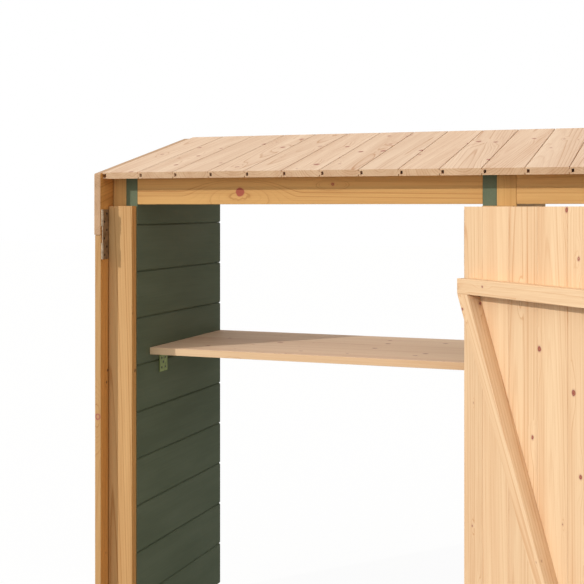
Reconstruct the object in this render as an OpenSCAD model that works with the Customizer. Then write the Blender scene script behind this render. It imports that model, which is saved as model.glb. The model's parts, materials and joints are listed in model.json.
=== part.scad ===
// Two-bay lean-to log store with a boarded roof that falls to the front.
// The left bay has a shelf and one leaf of a pair of doors. The right bay is open for logs.
// X runs along the front, Y to the back, Z up. The origin is on the ground, at mid width and mid depth.

/* [Bays] */
// Clear width of each bay between its walls
bay_w = 886; // [600:1:1200]
// Depth of the green walls, front to back
wall_depth = 520; // [380:1:800]
// Thickness of the green wall boards
wall_t = 32; // [20:1:45]
// Height that one wall board covers
wall_pitch = 120; // [90:1:150]
// Number of whole wall boards below the eaves board
wall_boards = 9; // [6:1:14]
// Height of the lowest wall board above the ground
wall_lift = 30; // [10:1:60]

/* [Posts and rails] */
// Width and depth of each square post
post_w = 45; // [35:1:70]
// Width of the outer walls' posts, measured along the front
outer_post_w = 40; // [35:1:70]
// Height of the side rails and of the foot rails
rail_h = 45; // [30:1:90]
// Height of the front and back headers at their lower side
header_h = 76; // [50:1:110]
// Height of the headers above the joint of the topmost whole wall board
header_rise = 52; // [20:1:90]

/* [Roof] */
// Slope of the roof, rising to the back
roof_angle = 12.8; // [5:0.1:25]
// Thickness of the roof boards
roof_t = 16; // [12:1:28]
// Reach of the roof in front of the posts
eaves_reach = 50; // [20:1:120]
// Distance of the roof's back edge from the back ends of the wall boards
roof_setback = 36; // [0:1:60]
// Thickness of each barge board
barge_t = 18.5; // [14:0.5:30]
// Depth of each barge board, square to the roof
barge_h = 152; // [90:1:220]
// Reach of the barge boards in front of the roof boards
barge_reach = 12; // [2:1:30]
// Distance of the barge boards' back ends from the roof's back edge
barge_short = 24; // [0:1:60]
// Drop of the barge board's top edge below the roof's upper face
barge_drop = 0.5; // [0:0.5:8]
// Reach of the barge board's outer face beyond the side board's
barge_proud = 1; // [0:0.5:4]

/* [Front boards] */
// Thickness of the side boards
side_board_t = 17.5; // [8:0.5:22]
// Reach of the side boards in front of the posts
side_board_reach = 60; // [40:1:90]
// Depth of each side board along Y
side_board_d = 120; // [95:1:160]
// Distance of the cover battens' free edges from the faces of the walls behind
batten_inset = 2.5; // [0:0.5:20]
// Thickness of the cover battens
batten_t = 24; // [16:1:30]
// Height of the front boards above the ground
board_lift = 20; // [10:1:60]
// Gap between the battens and the header above
batten_gap = 4; // [2:1:10]

/* [Shelf] */
// Thickness of the shelf
shelf_t = 18; // [12:1:30]
// Height of the shelf's upper face above the ground
shelf_z = 788; // [500:1:950]
// Distance of the shelf's front edge behind the front of the posts
shelf_setback = 68; // [60:1:160]
// Length of each bracket arm
bracket_arm = 53; // [30:1:60]
// Width of each bracket
bracket_w = 46; // [30:1:60]
// Thickness of the bracket plate
bracket_t = 2; // [1.5:0.5:4]
// Radius of the bracket's screw holes
bracket_hole_r = 2.5; // [1.5:0.5:3.5]
// Distance of the brackets from the front and back edges of the shelf
bracket_inset = 52; // [5:1:90]

/* [Door] */
// Width of one door board
door_pitch = 94; // [80:1:110]
// Number of whole boards beside the cut board at the hinge edge
door_boards_whole = 4; // [2:1:6]
// Width of the cut board at the hinge edge
door_edge_board = 68; // [40:1:90]
// Distance of the closed door's outer face in front of the posts
door_reach = 14; // [8:1:20]
// Thickness of the door boards
door_t = 20; // [16:1:28]
// Height of the door's foot above the ground
door_lift = 46; // [20:1:90]
// Gap between the door and the header above
door_gap = 6; // [5:0.5:12]
// Height and depth of the ledges and the brace
ledge_w = 34; // [24:1:50]
// Distance of the top ledge from the door's top
ledge_drop = 160; // [100:1:240]
// Distance of the ledge ends from the door's hinge edge
ledge_inset = 20; // [15:1:40]
// Distance of the ledge ends from the door's free edge
ledge_free_inset = 6; // [2:1:40]
// Angle of the brace from upright, which places the bottom ledge
brace_lean = 25.2; // [22:0.1:35]
// Angle that the door stands open
door_open = 137; // [0:1:175]
// Thickness of the jamb strip that carries the door
jamb_t = 18; // [12:1:30]
// Depth of the jamb strip behind the closed door's outer face
jamb_d = 52; // [40:1:70]

/* [Hinges] */
// Length of each hinge
hinge_h = 126; // [80:1:160]
// Width of each hinge leaf
leaf_w = 30; // [20:1:34]
// Thickness of each hinge leaf
leaf_t = 2; // [1.5:0.25:3]
// Radius of the hinge knuckle
knuckle_r = 4; // [3:0.25:6]
// Radius of the hinge pin
pin_r = 2; // [1.5:0.25:3]
// Distance of each hinge from the door's top or foot
hinge_drop = 7; // [4:1:60]
// Radius of the hinge screw holes
screw_hole_r = 2; // [1.5:0.25:3]

/* [Hidden] */
$fn = 48;

// Colours of the pieces
pine = "#d9ab70";
pale_pine = "#efcda2";
roof_pine = "#e3c2a2";
green_paint = "#4f5a45";
shelf_pine = "#c79d7c";
zinc = "#b8b4aa";
olive_steel = "#626e38";

// Small spare length that carries cutting tools past a face
past = 1;
// Gap between the sloping tops of the timbers and the roof boards they carry
roof_seat = 0.2;
// Running clearance of the hinge pin, and the gap between knuckles
pin_play = 0.06;
knuckle_gap = 0.4;
// Space between the two leaves of a closed hinge, and between a leaf and the knuckles
leaf_gap = 1;
leaf_edge = leaf_gap / 2;
// Screws in one hinge leaf
hinge_screws = 6;

// Places along X, counted from the middle of the store
stud_w = wall_t + post_w;
partition_x0 = -stud_w / 2;
partition_x1 = partition_x0 + wall_t;
partition_x2 = stud_w / 2;
left_in = partition_x0 - bay_w;
left_x1 = left_in - wall_t;
left_out = left_x1 - outer_post_w;
right_in = partition_x2 + bay_w;
right_x1 = right_in + wall_t;
right_out = right_x1 + outer_post_w;

// Places along Y
front_y = -wall_depth / 2;
back_y = wall_depth / 2;
batten_y = front_y - batten_t;
side_board_y = front_y - side_board_reach;
eaves_y = front_y - eaves_reach;
roof_back_y = back_y - roof_setback;
back_post_y = roof_back_y - post_w;

// Places along Z
top_joint_z = wall_lift + wall_boards * wall_pitch;
header_z = top_joint_z + header_rise;
eaves_z = header_z + header_h;
slope = tan(roof_angle);
batten_top = header_z - batten_gap;

// Door sizes; the hinge pin stands just in front of the closed door's outer face
door_w = door_edge_board + door_boards_whole * door_pitch;
door_top = header_z - door_gap;
door_h = door_top - door_lift;
door_y = front_y - door_reach;
door_in_y = door_y + door_t;
door_leaf_w = door_t - leaf_gap;
hinge_lean = leaf_t + leaf_gap / 2;
jamb_x = partition_x0 - jamb_t;
pin_x = jamb_x - hinge_lean;
pin_y = door_y - knuckle_r;
door_x1 = pin_x - hinge_lean;
door_x0 = door_x1 - door_w;
ledge_x0 = door_x0 + ledge_free_inset;
ledge_x1 = door_x1 - ledge_inset;
hinge_top_z = door_top - hinge_drop - hinge_h;
hinge_bottom_z = door_lift + hinge_drop;
top_ledge_z = door_top - ledge_drop - ledge_w;
brace_cut = ledge_w / cos(brace_lean);
brace_rise = (ledge_x1 - ledge_x0 - brace_cut) / tan(brace_lean);
bottom_ledge_z = top_ledge_z - brace_rise - ledge_w;

// Height of the roof's underside at a given depth
function under_roof(y) = eaves_z + (y - front_y) * slope;

// Side profile from z0 up to a given gap below the roof boards, as [y, z] points
function below_roof(y0, y1, z0, gap = roof_seat) =
    [[y0, z0], [y1, z0], [y1, under_roof(y1) - gap], [y0, under_roof(y0) - gap]];

// Stands a [y, z] outline up and gives it a width along X from x0 to x1
module side_cut(points, x0, x1) {
    translate([x0, 0, 0])
        rotate([90, 0, 90])
            linear_extrude(x1 - x0)
                polygon(points);
}

// Plain squared timber between two opposite corners
module timber(low, high) {
    translate(low)
        cube(high - low);
}

// --- posts -------------------------------------------------------------

module front_post(x0, x1) {
    color(pine)
        side_cut(below_roof(front_y, front_y + post_w, 0), x0, x1);
}

module back_post(x0, x1) {
    color(pine)
        side_cut(below_roof(back_post_y, roof_back_y, 0), x0, x1);
}

module left_front_post() front_post(left_out, left_x1);
module middle_front_post() front_post(partition_x1, partition_x2);
module right_front_post() front_post(right_x1, right_out);
module left_back_post() back_post(left_out, left_x1);
module middle_back_post() back_post(partition_x1, partition_x2);
module right_back_post() back_post(right_x1, right_out);

// --- walls -------------------------------------------------------------

module wall(x0) {
    color(green_paint)
        side_cut(below_roof(front_y, back_y, wall_lift), x0, x0 + wall_t);
}

module left_wall() wall(left_x1);
module partition_wall() wall(partition_x0);
module right_wall() wall(right_in);

// --- headers and rails -------------------------------------------------

module front_header(x0) {
    color(pine)
        side_cut(below_roof(front_y, front_y + post_w, header_z), x0, x0 + bay_w);
}

module back_header(x0) {
    z0 = under_roof(back_post_y) - header_h;
    color(pine)
        side_cut(below_roof(back_post_y, roof_back_y, z0), x0, x0 + bay_w);
}

module left_header() front_header(left_in);
module right_header() front_header(partition_x2);
module left_back_header() back_header(left_in);
module right_back_header() back_header(partition_x2);

// Top rail between the front and the back post of one wall
module top_rail(x0, x1) {
    color(pine)
        timber([x0, front_y + post_w, header_z - rail_h / 4],
               [x1, back_post_y, header_z + rail_h * 3 / 4]);
}

// Foot rail between the posts, flat on the ground
module foot_rail(x0, x1) {
    color(pine)
        timber([x0, front_y + post_w, 0], [x1, back_post_y, rail_h]);
}

module left_top_rail() top_rail(left_out, left_x1);
module middle_top_rail() top_rail(partition_x1, partition_x2);
module right_top_rail() top_rail(right_x1, right_out);
module left_foot_rail() foot_rail(left_out, left_x1);
module middle_foot_rail() foot_rail(partition_x1, partition_x2);
module right_foot_rail() foot_rail(right_x1, right_out);

// --- roof --------------------------------------------------------------

// The roof boards reach to the barge boards' inner faces
roof_x0 = left_out - side_board_t - barge_proud + barge_t;
roof_x1 = -roof_x0;
roof_len = (roof_back_y - eaves_y) / cos(roof_angle);
// Upright distance from the roof's underside down to the barge boards' lower edge
barge_drop_z = (barge_h + barge_drop - roof_t) / cos(roof_angle);

// Moves and turns to the roof's plane: local Y runs up the slope, local Z stands square to it
module on_slope() {
    translate([0, eaves_y, under_roof(eaves_y)])
        rotate([roof_angle, 0, 0])
            children();
}

module roof_deck() {
    color(roof_pine)
        on_slope()
            timber([roof_x0, 0, 0], [roof_x1, roof_len, roof_t]);
}

// Upper edge of the barge boards at a given depth
function barge_top(y) = under_roof(y) + (roof_t - barge_drop) / cos(roof_angle);

// Left barge board, cut upright at both ends
module barge_board() {
    y0 = eaves_y - barge_reach;
    y1 = roof_back_y - barge_short;
    z_depth = barge_h / cos(roof_angle);
    color(roof_pine)
        side_cut([[y0, barge_top(y0) - z_depth], [y1, barge_top(y1) - z_depth],
                  [y1, barge_top(y1)], [y0, barge_top(y0)]],
                 roof_x0 - barge_t, roof_x0);
}

module left_barge_board() barge_board();
module right_barge_board() mirror([1, 0, 0]) barge_board();

// --- front boards ------------------------------------------------------

// The side board stops just below the barge board and continues its inner face
module side_board() {
    color(pine)
        side_cut(below_roof(side_board_y, side_board_y + side_board_d, board_lift,
                            barge_drop_z + roof_seat),
                 left_out - side_board_t, left_out);
}

module left_side_board() side_board();
module right_side_board() mirror([1, 0, 0]) side_board();

module batten(x0, x1) {
    color(pine)
        timber([x0, batten_y, board_lift], [x1, front_y, batten_top]);
}

module left_batten() batten(left_out, left_in - batten_inset);
module middle_batten() batten(partition_x0 + batten_inset, partition_x2 - batten_inset);
module right_batten() batten(right_in + batten_inset, right_out);

// --- shelf -------------------------------------------------------------

shelf_y = front_y + shelf_setback;

module shelf() {
    color(shelf_pine)
        timber([left_in, shelf_y, shelf_z - shelf_t], [partition_x0, back_y, shelf_z]);
}

// Screw holes of a bracket arm, as shares of its width and of its length
bracket_holes = [[0.28, 0.32], [0.72, 0.32], [0.5, 0.54], [0.28, 0.8], [0.72, 0.8]];

// Angle bracket with one arm down the wall at X = 0 and one under the shelf at Z = 0
module bracket() {
    difference() {
        union() {
            timber([0, 0, -bracket_arm], [bracket_t, bracket_w, 0]);
            timber([0, 0, -bracket_t], [bracket_arm, bracket_w, 0]);
        }
        for (hole = bracket_holes) {
            translate([-past, hole[0] * bracket_w, -hole[1] * bracket_arm])
                rotate([0, 90, 0])
                    cylinder(r = bracket_hole_r, h = bracket_t + 2 * past);
            translate([hole[1] * bracket_arm, hole[0] * bracket_w, -bracket_t - past])
                cylinder(r = bracket_hole_r, h = bracket_t + 2 * past);
        }
    }
}

// The front and the back bracket of one end of the shelf
module bracket_pair() {
    color(olive_steel)
        for (y0 = [shelf_y + bracket_inset, back_y - bracket_inset - bracket_w])
            translate([0, y0, shelf_z - shelf_t])
                bracket();
}

module left_brackets() {
    translate([left_in, 0, 0])
        bracket_pair();
}

module right_brackets() {
    translate([partition_x0, 0, 0])
        mirror([1, 0, 0])
            bracket_pair();
}

// --- hinges ------------------------------------------------------------

// Three knuckles share the length of a hinge, with a small gap between them
knuckle_h = (hinge_h - 2 * knuckle_gap) / 3;

// One knuckle and its tongue. The leaf's back lies on X = 0, and the pin stands at
// [lean, -knuckle_r]
module knuckle(lean) {
    translate([lean, -knuckle_r, 0])
        cylinder(r = knuckle_r, h = knuckle_h);
    timber([0, -knuckle_r, 0], [leaf_t, leaf_edge + past, knuckle_h]);
}

// Flat leaf with six staggered screw holes
module leaf(width) {
    difference() {
        timber([0, leaf_edge, 0], [leaf_t, width, hinge_h]);
        for (i = [0 : hinge_screws - 1])
            translate([-past, width * (i % 2 == 0 ? 0.3 : 0.7), hinge_h * (i + 0.5) / hinge_screws])
                rotate([0, 90, 0])
                    cylinder(r = screw_hole_r, h = leaf_t + 2 * past);
    }
}

// Fixed half of a hinge: leaf, lower and upper knuckle, and the pin
module fixed_half(lean) {
    color(zinc) {
        leaf(leaf_w);
        for (z = [0, 2 * (knuckle_h + knuckle_gap)])
            translate([0, 0, z])
                knuckle(lean);
        translate([lean, -knuckle_r, 0])
            cylinder(r = pin_r, h = hinge_h);
    }
}

// Moving half of a hinge: leaf and middle knuckle, bored for the pin
module moving_half(lean) {
    color(zinc) {
        leaf(door_leaf_w);
        translate([0, 0, knuckle_h + knuckle_gap])
            difference() {
                knuckle(lean);
                translate([lean, -knuckle_r, -past])
                    cylinder(r = pin_r + pin_play, h = knuckle_h + 2 * past);
            }
    }
}

// The leaf on the left side board, left there by the door leaf that is missing
module side_hinge(z0) {
    translate([left_out, batten_y - leaf_w, z0])
        fixed_half(knuckle_r);
}

// The leaf on the jamb strip, which faces into the left bay
module jamb_hinge(z0) {
    translate([jamb_x, door_y, z0])
        mirror([1, 0, 0])
            fixed_half(hinge_lean);
}

module side_hinge_top() side_hinge(hinge_top_z);
module side_hinge_bottom() side_hinge(hinge_bottom_z);
module jamb_hinge_top() jamb_hinge(hinge_top_z);
module jamb_hinge_bottom() jamb_hinge(hinge_bottom_z);

module door_jamb() {
    color(pine)
        timber([jamb_x, door_y, board_lift], [partition_x0, door_y + jamb_d, door_top]);
}

// --- door --------------------------------------------------------------

// Turns a piece of the closed door about the hinge pins to where the door stands open
module opened() {
    translate([pin_x, pin_y, 0])
        rotate([0, 0, door_open])
            translate([-pin_x, -pin_y, 0])
                children();
}

module door_panel() {
    color(pale_pine)
        opened()
            timber([door_x0, door_y, door_lift], [door_x1, door_in_y, door_top]);
}

module ledge(z0) {
    color(pale_pine)
        opened()
            timber([ledge_x0, door_in_y, z0], [ledge_x1, door_in_y + ledge_w, z0 + ledge_w]);
}

module top_ledge() ledge(top_ledge_z);
module bottom_ledge() ledge(bottom_ledge_z);

// The brace runs from the hinge end of the top ledge to the free end of the bottom ledge
module brace() {
    z0 = bottom_ledge_z + ledge_w;
    outline = [[ledge_x0, z0], [ledge_x0 + brace_cut, z0],
               [ledge_x1, top_ledge_z], [ledge_x1 - brace_cut, top_ledge_z]];
    color(pale_pine)
        opened()
            translate([0, door_in_y + ledge_w, 0])
                rotate([90, 0, 0])
                    linear_extrude(ledge_w)
                        polygon(outline);
}

module door_hinge(z0) {
    opened()
        translate([door_x1, door_y, z0])
            moving_half(hinge_lean);
}

module door_hinge_top() door_hinge(hinge_top_z);
module door_hinge_bottom() door_hinge(hinge_bottom_z);

left_front_post();
middle_front_post();
right_front_post();
left_back_post();
middle_back_post();
right_back_post();
left_wall();
partition_wall();
right_wall();
left_header();
right_header();
left_back_header();
right_back_header();
left_top_rail();
middle_top_rail();
right_top_rail();
left_foot_rail();
middle_foot_rail();
right_foot_rail();
roof_deck();
left_barge_board();
right_barge_board();
left_side_board();
right_side_board();
left_batten();
middle_batten();
right_batten();
shelf();
left_brackets();
right_brackets();
side_hinge_top();
side_hinge_bottom();
door_jamb();
jamb_hinge_top();
jamb_hinge_bottom();
door_panel();
top_ledge();
bottom_ledge();
brace();
door_hinge_top();
door_hinge_bottom();
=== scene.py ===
# %% [markdown]
# # A two-bay log store
# This lesson dresses a small lean-to log store: painted board walls, bare softwood posts and
# headers, a tongued and grooved roof, a shelf on steel brackets and one ledged and braced door
# leaf. The construction comes as a fixed frame. The lesson gives each timber its rounded edges,
# its grain and its knots, and lays the boards that the frame shows as plain slabs.

# %% Load the frame
import json
import math

import bmesh
import bpy
import numpy as np
from mathutils import Matrix, Vector

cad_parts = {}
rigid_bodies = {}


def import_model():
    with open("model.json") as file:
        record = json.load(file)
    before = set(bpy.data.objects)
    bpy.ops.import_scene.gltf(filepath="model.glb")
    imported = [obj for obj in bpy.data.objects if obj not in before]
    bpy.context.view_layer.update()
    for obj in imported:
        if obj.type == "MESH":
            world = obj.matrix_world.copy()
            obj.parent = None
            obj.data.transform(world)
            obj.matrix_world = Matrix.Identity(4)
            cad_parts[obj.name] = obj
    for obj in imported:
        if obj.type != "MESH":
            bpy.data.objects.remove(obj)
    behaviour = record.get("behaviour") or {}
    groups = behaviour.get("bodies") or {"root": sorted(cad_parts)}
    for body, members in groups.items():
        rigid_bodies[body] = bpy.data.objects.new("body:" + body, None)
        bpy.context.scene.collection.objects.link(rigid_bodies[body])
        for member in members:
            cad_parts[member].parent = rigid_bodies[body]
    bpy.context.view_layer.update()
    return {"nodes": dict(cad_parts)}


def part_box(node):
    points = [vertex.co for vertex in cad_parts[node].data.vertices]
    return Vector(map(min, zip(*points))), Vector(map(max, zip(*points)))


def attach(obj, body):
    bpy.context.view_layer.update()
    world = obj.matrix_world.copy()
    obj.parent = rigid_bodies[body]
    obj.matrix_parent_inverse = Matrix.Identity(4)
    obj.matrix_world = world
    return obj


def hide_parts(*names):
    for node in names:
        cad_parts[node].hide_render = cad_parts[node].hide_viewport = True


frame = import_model()
nodes = frame["nodes"]
MM = 0.001
X, Y, Z = Vector((1, 0, 0)), Vector((0, 1, 0)), Vector((0, 0, 1))

# %% [markdown]
# ## Camera
# The store is seen from a little left of the door, level with the door's top edge. A level
# camera keeps the posts upright, and a small vertical shift lowers the view instead of tilting
# it, as an architect's camera does.

# %% Camera
# metres right of the left wall, in front of it, and below the door's top edge
CAMERA_RIGHT, CAMERA_FRONT, CAMERA_DOWN = 1.367, 2.556, 0.0023
CAMERA_TURN = 20.3  # degrees to the left
left_wall_low, left_wall_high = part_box("left_wall")
door_low, door_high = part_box("door_panel")
camera_data = bpy.data.cameras.new("camera")
camera = bpy.data.objects.new("camera", camera_data)
bpy.context.scene.collection.objects.link(camera)
bpy.context.scene.camera = camera
camera.location = (left_wall_high.x + CAMERA_RIGHT, left_wall_low.y - CAMERA_FRONT,
                   door_high.z - CAMERA_DOWN)
camera.rotation_euler = (math.radians(90), 0, math.radians(CAMERA_TURN))
camera_data.sensor_width = 36
camera_data.lens = 69.2
camera_data.shift_y = -0.1445
print("camera at", [round(v, 3) for v in camera.location])

# %% [markdown]
# ## Nodes by one small function
# Every material and every Geometry Nodes tree below is made with `add`. It makes a node, sets
# its properties, and then sets each input to a value or links a socket to it.

# %% Node and colour helpers


def add(tree, kind, inputs=None, **settings):
    node = tree.nodes.new(kind)
    for name, value in settings.items():
        setattr(node, name, value)
    for key, value in (inputs or {}).items():
        socket = node.inputs[key]
        if isinstance(value, bpy.types.NodeSocket):
            tree.links.new(value, socket)
        else:
            socket.default_value = value
    return node


def linear(hex_colour):
    """Turns an sRGB hex colour such as "#d9ab70" into linear RGBA."""
    parts = [int(hex_colour[i:i + 2], 16) / 255 for i in (1, 3, 5)]
    return [p / 12.92 if p <= 0.04045 else ((p + 0.055) / 1.055) ** 2.4 for p in parts] + [1.0]


def new_material(name):
    material = bpy.data.materials.new(name)
    material.use_nodes = True
    material.node_tree.nodes.clear()
    return material, material.node_tree


print("honey-coloured pine is", [round(c, 3) for c in linear("#ddb06f")], "in linear colour")

# %% [markdown]
# ## Softwood
# The posts, headers, boards and the door are planed spruce and pine, left bare. A tree grows a
# pale band and a thin dark line each year, round a pith. A board is a slice through these
# tubes, so straight lines show where the pith is far off, pointed arches where the saw grazed a
# ring, and arcs on the cut ends. One solid pattern gives all three: the distance from a pith
# that wanders along the board. Each board carries its own coordinates in an attribute named
# `grain`, in metres along, across and through it, and a random number named `board`, so the
# pattern follows every timber whichever way it lies. An image of wood would be sharper, but it
# would show the same board again on each piece and stop at the edges.

# %% Where a point lies in its log
PITH_SWAY = 0.09  # metres that the pith wanders to either side of a board
PITH_NEAR, PITH_FAR = 0.004, 0.1  # metres from the middle of a board to its pith
NEXT_LOG = 61.0  # metres of tree between one board and the next


def log_place(tree, sweep):
    """Place of a point in its board, and along its log and across and up from the pith."""
    grain = add(tree, "ShaderNodeAttribute", attribute_name="grain").outputs["Vector"]
    board = add(tree, "ShaderNodeAttribute", attribute_name="board").outputs["Fac"]
    parts = add(tree, "ShaderNodeSeparateXYZ", {0: grain}).outputs
    # each board is cut from its own stretch of tree
    shift = add(tree, "ShaderNodeMath", {0: board, 1: NEXT_LOG}, operation="MULTIPLY").outputs[0]
    along = add(tree, "ShaderNodeMath", {0: parts[0], 1: shift}).outputs[0]
    # the pith wanders slowly along the board, and from board to board
    path = add(tree, "ShaderNodeVectorMath", {
        0: add(tree, "ShaderNodeCombineXYZ", {0: parts[0], 1: shift}).outputs[0],
        1: (sweep, 1.0, 1.0)}, operation="MULTIPLY").outputs[0]
    wander = add(tree, "ShaderNodeTexNoise", {"Vector": path, "Scale": 1.0, "Detail": 0.0})
    drift = add(tree, "ShaderNodeSeparateColor", {0: wander.outputs["Color"]}).outputs
    sideways = add(tree, "ShaderNodeMapRange", {0: drift[0], 1: 0.25, 2: 0.75, 3: -PITH_SWAY, 4: PITH_SWAY})
    below = add(tree, "ShaderNodeMapRange", {0: drift[1], 1: 0.25, 2: 0.75, 3: PITH_NEAR, 4: PITH_FAR})
    across = add(tree, "ShaderNodeMath", {0: parts[1], 1: sideways.outputs[0]}).outputs[0]
    depth = add(tree, "ShaderNodeMath", {0: parts[2], 1: below.outputs[0]}).outputs[0]
    return grain, board, parts, shift, along, across, depth


print("pith", PITH_NEAR, "to", PITH_FAR, "m away, swaying by", PITH_SWAY, "m")

# %% [markdown]
# ### Knots
# A knot is the foot of a branch, cut across. Knots come one by one along a board, so a Voronoi
# pattern scatters them: each cell may hold one, and its own random colour says how large it is.
# A few that catch the eye are given by place instead. The rings flow round each knot in a
# spindle, so the knots also say how far they push the rings aside.

# %% Where the knots are
EMPTY_SHARE = 0.4  # share of the cells that hold no knot
RIM_WOBBLE = 70.0  # bends per metre in a knot's rim, one every 14 mm


def knot_field(tree, grain, parts, shift, along, knot_size, knot_spacing, placed):
    """Distance to the rim of the nearest knot, and how far the knots push the rings."""
    # knots are cells scattered over the faces, and only some of the cells hold one
    faces = add(tree, "ShaderNodeMath", {0: parts[1], 1: parts[2]}).outputs[0]
    spot = add(tree, "ShaderNodeCombineXYZ", {0: along, 1: faces, 2: shift}).outputs[0]
    wobble = add(tree, "ShaderNodeTexNoise", {"Vector": spot, "Scale": RIM_WOBBLE, "Detail": 2.0})
    bent = add(tree, "ShaderNodeVectorMath", {
        0: wobble.outputs["Color"], 1: (0.006, 0.006, 0.0), 2: spot}, operation="MULTIPLY_ADD")
    spread = add(tree, "ShaderNodeVectorMath", {
        0: bent.outputs[0], 1: (0.62, 1.0, 0.0)}, operation="MULTIPLY").outputs[0]
    cells = add(tree, "ShaderNodeTexVoronoi", {
        "Vector": spread, "Scale": 1 / knot_spacing, "Randomness": 0.9}, voronoi_dimensions="2D")
    off = add(tree, "ShaderNodeVectorMath", {
        0: spread, 1: cells.outputs["Position"]}, operation="SUBTRACT").outputs[0]
    chance = add(tree, "ShaderNodeSeparateColor", {0: cells.outputs["Color"]}).outputs[0]
    radius = add(tree, "ShaderNodeMapRange", {
        0: chance, 1: EMPTY_SHARE, 2: 1.0, 3: 0.08 * knot_size, 4: knot_size}).outputs[0]
    missing = add(tree, "ShaderNodeMath", {0: chance, 1: EMPTY_SHARE}, operation="LESS_THAN").outputs[0]
    knots = [(off, (1.3, 1.0, 0.0), (0.42, 1.0, 0.0), radius, missing, 1.8)]
    # a few large knots have their own places on the board
    here = add(tree, "ShaderNodeVectorMath", {
        0: wobble.outputs["Color"], 1: (0.004, 0.004, 0.0), 2: grain}, operation="MULTIPLY_ADD")
    for place_along, place_across, place_through, size in placed:
        off = add(tree, "ShaderNodeVectorMath", {
            0: here.outputs[0], 1: (place_along + 0.002, place_across + 0.002, place_through)},
            operation="SUBTRACT").outputs[0]
        knots.append((off, (1.0, 1.0, 1.0), (0.3, 1.0, 1.0), size, 0.0, 6.0))
    edge, pull = 1.0, 0.0
    for off, oval, stream, size, absent, bulge in knots:
        shape = add(tree, "ShaderNodeVectorMath", {0: off, 1: oval}, operation="MULTIPLY").outputs[0]
        away = add(tree, "ShaderNodeVectorMath", {0: shape}, operation="LENGTH").outputs["Value"]
        rim = add(tree, "ShaderNodeMath", {0: away, 1: size}, operation="SUBTRACT").outputs[0]
        rim = add(tree, "ShaderNodeMath", {0: rim, 1: absent}).outputs[0]
        edge = add(tree, "ShaderNodeMath", {0: edge, 1: rim}, operation="MINIMUM").outputs[0]
        # the rings flow round a knot in a long spindle that fades over a few of its widths
        flow = add(tree, "ShaderNodeVectorMath", {0: off, 1: stream}, operation="MULTIPLY").outputs[0]
        flow = add(tree, "ShaderNodeVectorMath", {0: flow}, operation="LENGTH").outputs["Value"]
        reach = add(tree, "ShaderNodeMath", {0: size, 1: 4.5, 2: MM}, operation="MULTIPLY_ADD")
        near = add(tree, "ShaderNodeMapRange", {
            0: flow, 2: reach.outputs[0], 3: 1.0, 4: 0.0}, interpolation_type="SMOOTHSTEP").outputs[0]
        near = add(tree, "ShaderNodeMath", {0: near, 1: absent}, operation="SUBTRACT").outputs[0]
        near = add(tree, "ShaderNodeMath", {0: near, 1: bulge}, operation="MULTIPLY").outputs[0]
        pull = add(tree, "ShaderNodeMath", {0: pull, 1: near}, operation="MAXIMUM").outputs[0]
    return edge, pull, chance, spot


print("cells without a knot", EMPTY_SHARE)

# %% [markdown]
# ### Rings, fibres and bands
# The number of a year is its distance from the pith over the ring pitch. Its fraction, through a
# ramp, gives a pale year with a thin dark line at its end. Fine fibres and broad soft bands are
# noise stretched along the board.

# %% How dark rings, fibres and bands make the wood
RING_PITCH = 6 * MM  # real rings stand 2 to 4 mm apart, drawn coarser so that they show
# repeats per metre along, across and through a board
RIPPLES = (0.7, 26.0, 26.0)  # rings bend every 38 mm across the board
FIBRES = (5.0, 380.0, 380.0)  # streaks 200 mm long and 2.6 mm wide, as real ones are too fine to show
BANDS = (0.9, 24.0, 24.0)  # bands about a metre long and 42 mm wide


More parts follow.
